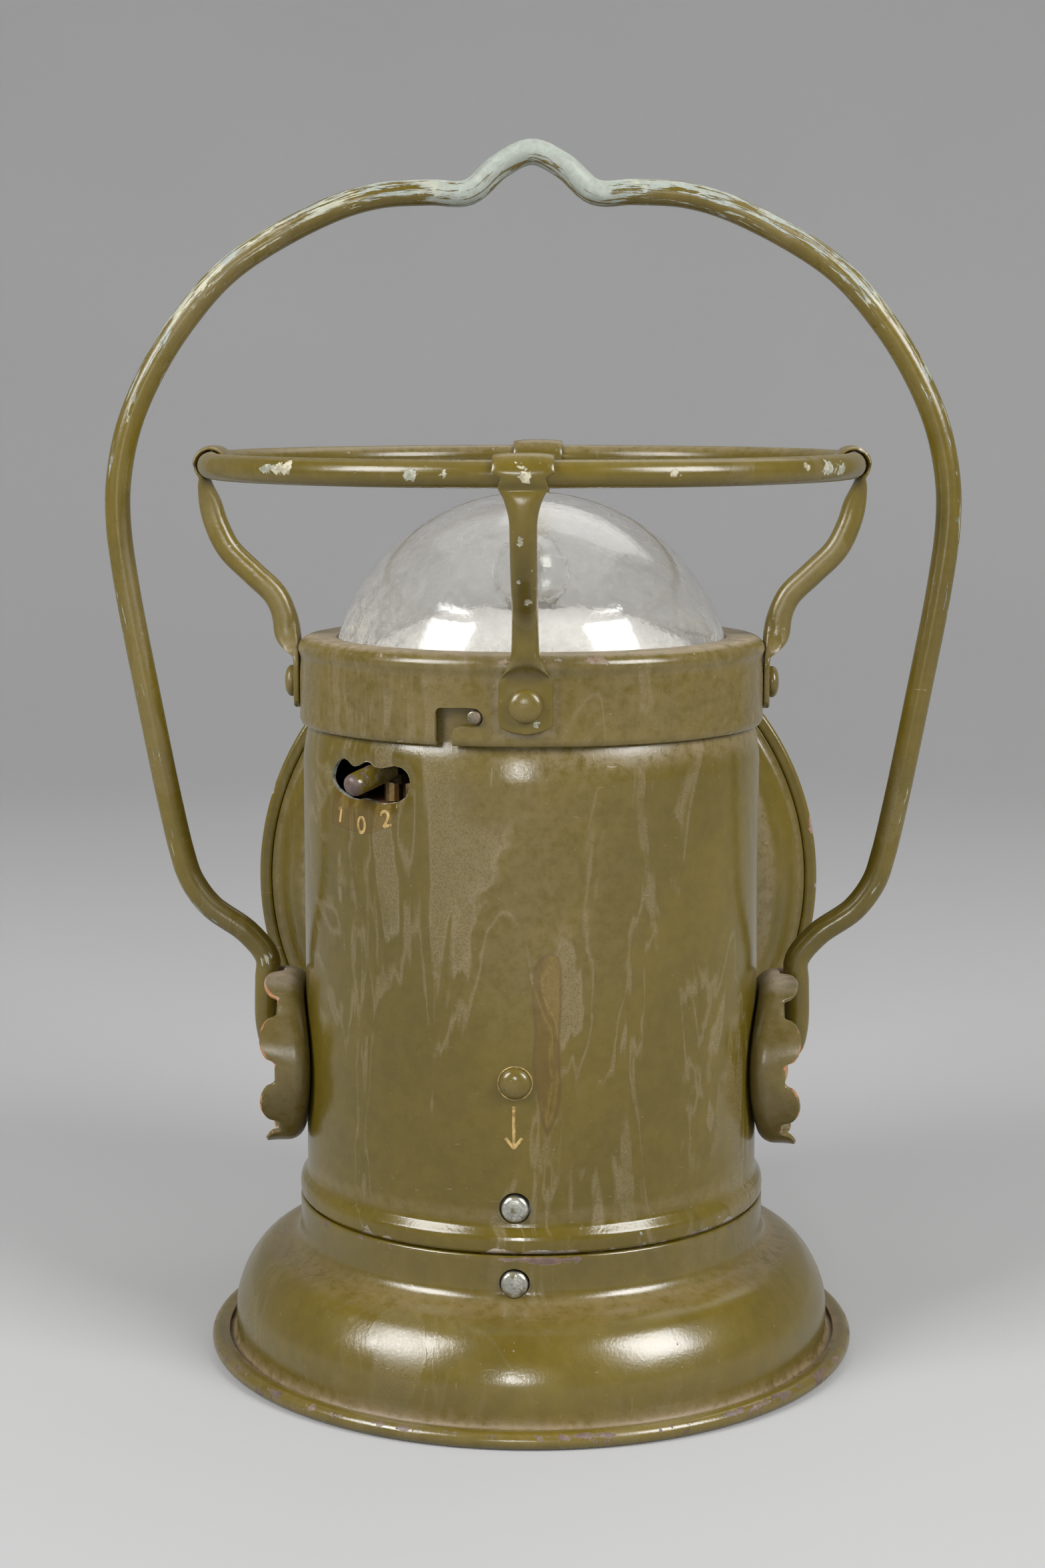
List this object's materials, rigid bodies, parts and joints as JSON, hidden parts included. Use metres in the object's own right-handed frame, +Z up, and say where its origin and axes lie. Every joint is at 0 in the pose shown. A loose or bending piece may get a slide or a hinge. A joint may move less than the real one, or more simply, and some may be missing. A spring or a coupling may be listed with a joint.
{
  "type": "two-lamp hand lantern",
  "caption": "Round steel battery lantern with a clear top dome and wire guard, a front headlight, a notched swinging bail, a side switch lever and a pull-off base.",
  "frame": {"origin": "middle of the base's underside, on the case's axis", "axes": "+Z up along the case, +Y along the headlight's beam, +X to the right of someone behind the lantern"},
  "size_m": [0.1862, 0.1502, 0.2638],
  "materials": {
    "olive": "semi-gloss olive drab enamel with dust scuffs and rust chips",
    "primer": "olive drab enamel worn to orange primer at the edges",
    "zinc": "dull zinc-plated steel",
    "brass": "tarnished",
    "silver": "silvered",
    "clear": "clear, finely scratched and a little hazy",
    "rubber": "matte black",
    "board": "brown laminate",
    "battery": "plain dark grey jacket"
  },
  "bodies": {
    "case": {"case_tube": "olive", "bayonet_pin_1": "zinc", "bayonet_pin_2": "zinc", "bayonet_pin_3": "zinc", "bail_cup_left": "primer", "bail_cup_right": "primer", "contact_board": "board", "switch_post": "brass", "contact_stud_1": "brass", "contact_stud_2": "brass", "contact_stud_3": "brass", "top_reflector": "silver", "top_socket": "brass", "top_bulb_base": "brass", "top_bulb_glass": "clear", "case_gasket": "rubber", "battery": "battery", "battery_terminal_centre": "zinc", "battery_terminal_corner": "zinc", "headlight_saddle": "olive", "headlight_bowl": "olive", "headlight_bezel": "olive", "headlight_clamp": "olive", "headlight_screw": "zinc", "headlight_reflector": "silver", "headlight_gasket": "rubber", "headlight_lens": "clear", "headlight_socket": "brass", "headlight_bulb_base": "brass", "headlight_bulb_glass": "clear", "latch_rivet": "olive"},
    "cap": {"cap_ring": "olive", "dome": "clear", "dome_gasket": "rubber", "guard_ring": "olive", "guard_strap_1": "olive", "guard_strap_2": "olive", "guard_strap_3": "olive", "guard_strap_4": "olive", "strap_rivet_1": "olive", "strap_rivet_2": "olive", "strap_rivet_3": "olive", "strap_rivet_4": "olive"},
    "bail": {"bail_handle": "olive", "bail_foot_left": "olive", "bail_foot_right": "olive"},
    "switch": {"switch_arm": "brass", "switch_lever": "olive"},
    "latch": {"latch_leaf": "zinc", "latch_button": "zinc", "latch_catch": "zinc"},
    "base": {"base_bell": "olive", "base_plate": "olive", "battery_pad": "rubber"}
  },
  "joints": [
    {"name": "cap_turn", "type": "hinge", "parent": "case", "child": "cap", "pos_m": [0, 0, 0.1452], "axis": [0, 0, 1], "range_deg": [0, 7.7]},
    {"name": "bail_swing", "type": "hinge", "parent": "case", "child": "bail", "pos_m": [0, 0, 0.064], "axis": [1, 0, 0], "range_deg": [-90, 90], "deforming": ["bail_foot_left", "bail_foot_right"]},
    {"name": "switch_turn", "type": "hinge", "parent": "case", "child": "switch", "pos_m": [0, 0, 0.1303], "axis": [0, 0, 1], "range_deg": [-10.3, 10.3]},
    {"name": "latch_press", "type": "hinge", "parent": "case", "child": "latch", "pos_m": [-0.00204, -0.04675, 0.07], "axis": [0.999, -0.0436, 0], "range_deg": [0, 5], "stiffness_Nm_per_rad": 0.6},
    {"name": "base_pull", "type": "slide", "parent": "case", "child": "base", "axis": [0, 0, -1], "range_m": [0, 0.03], "deforming": ["latch_leaf", "latch_button", "latch_catch"]}
  ]
}
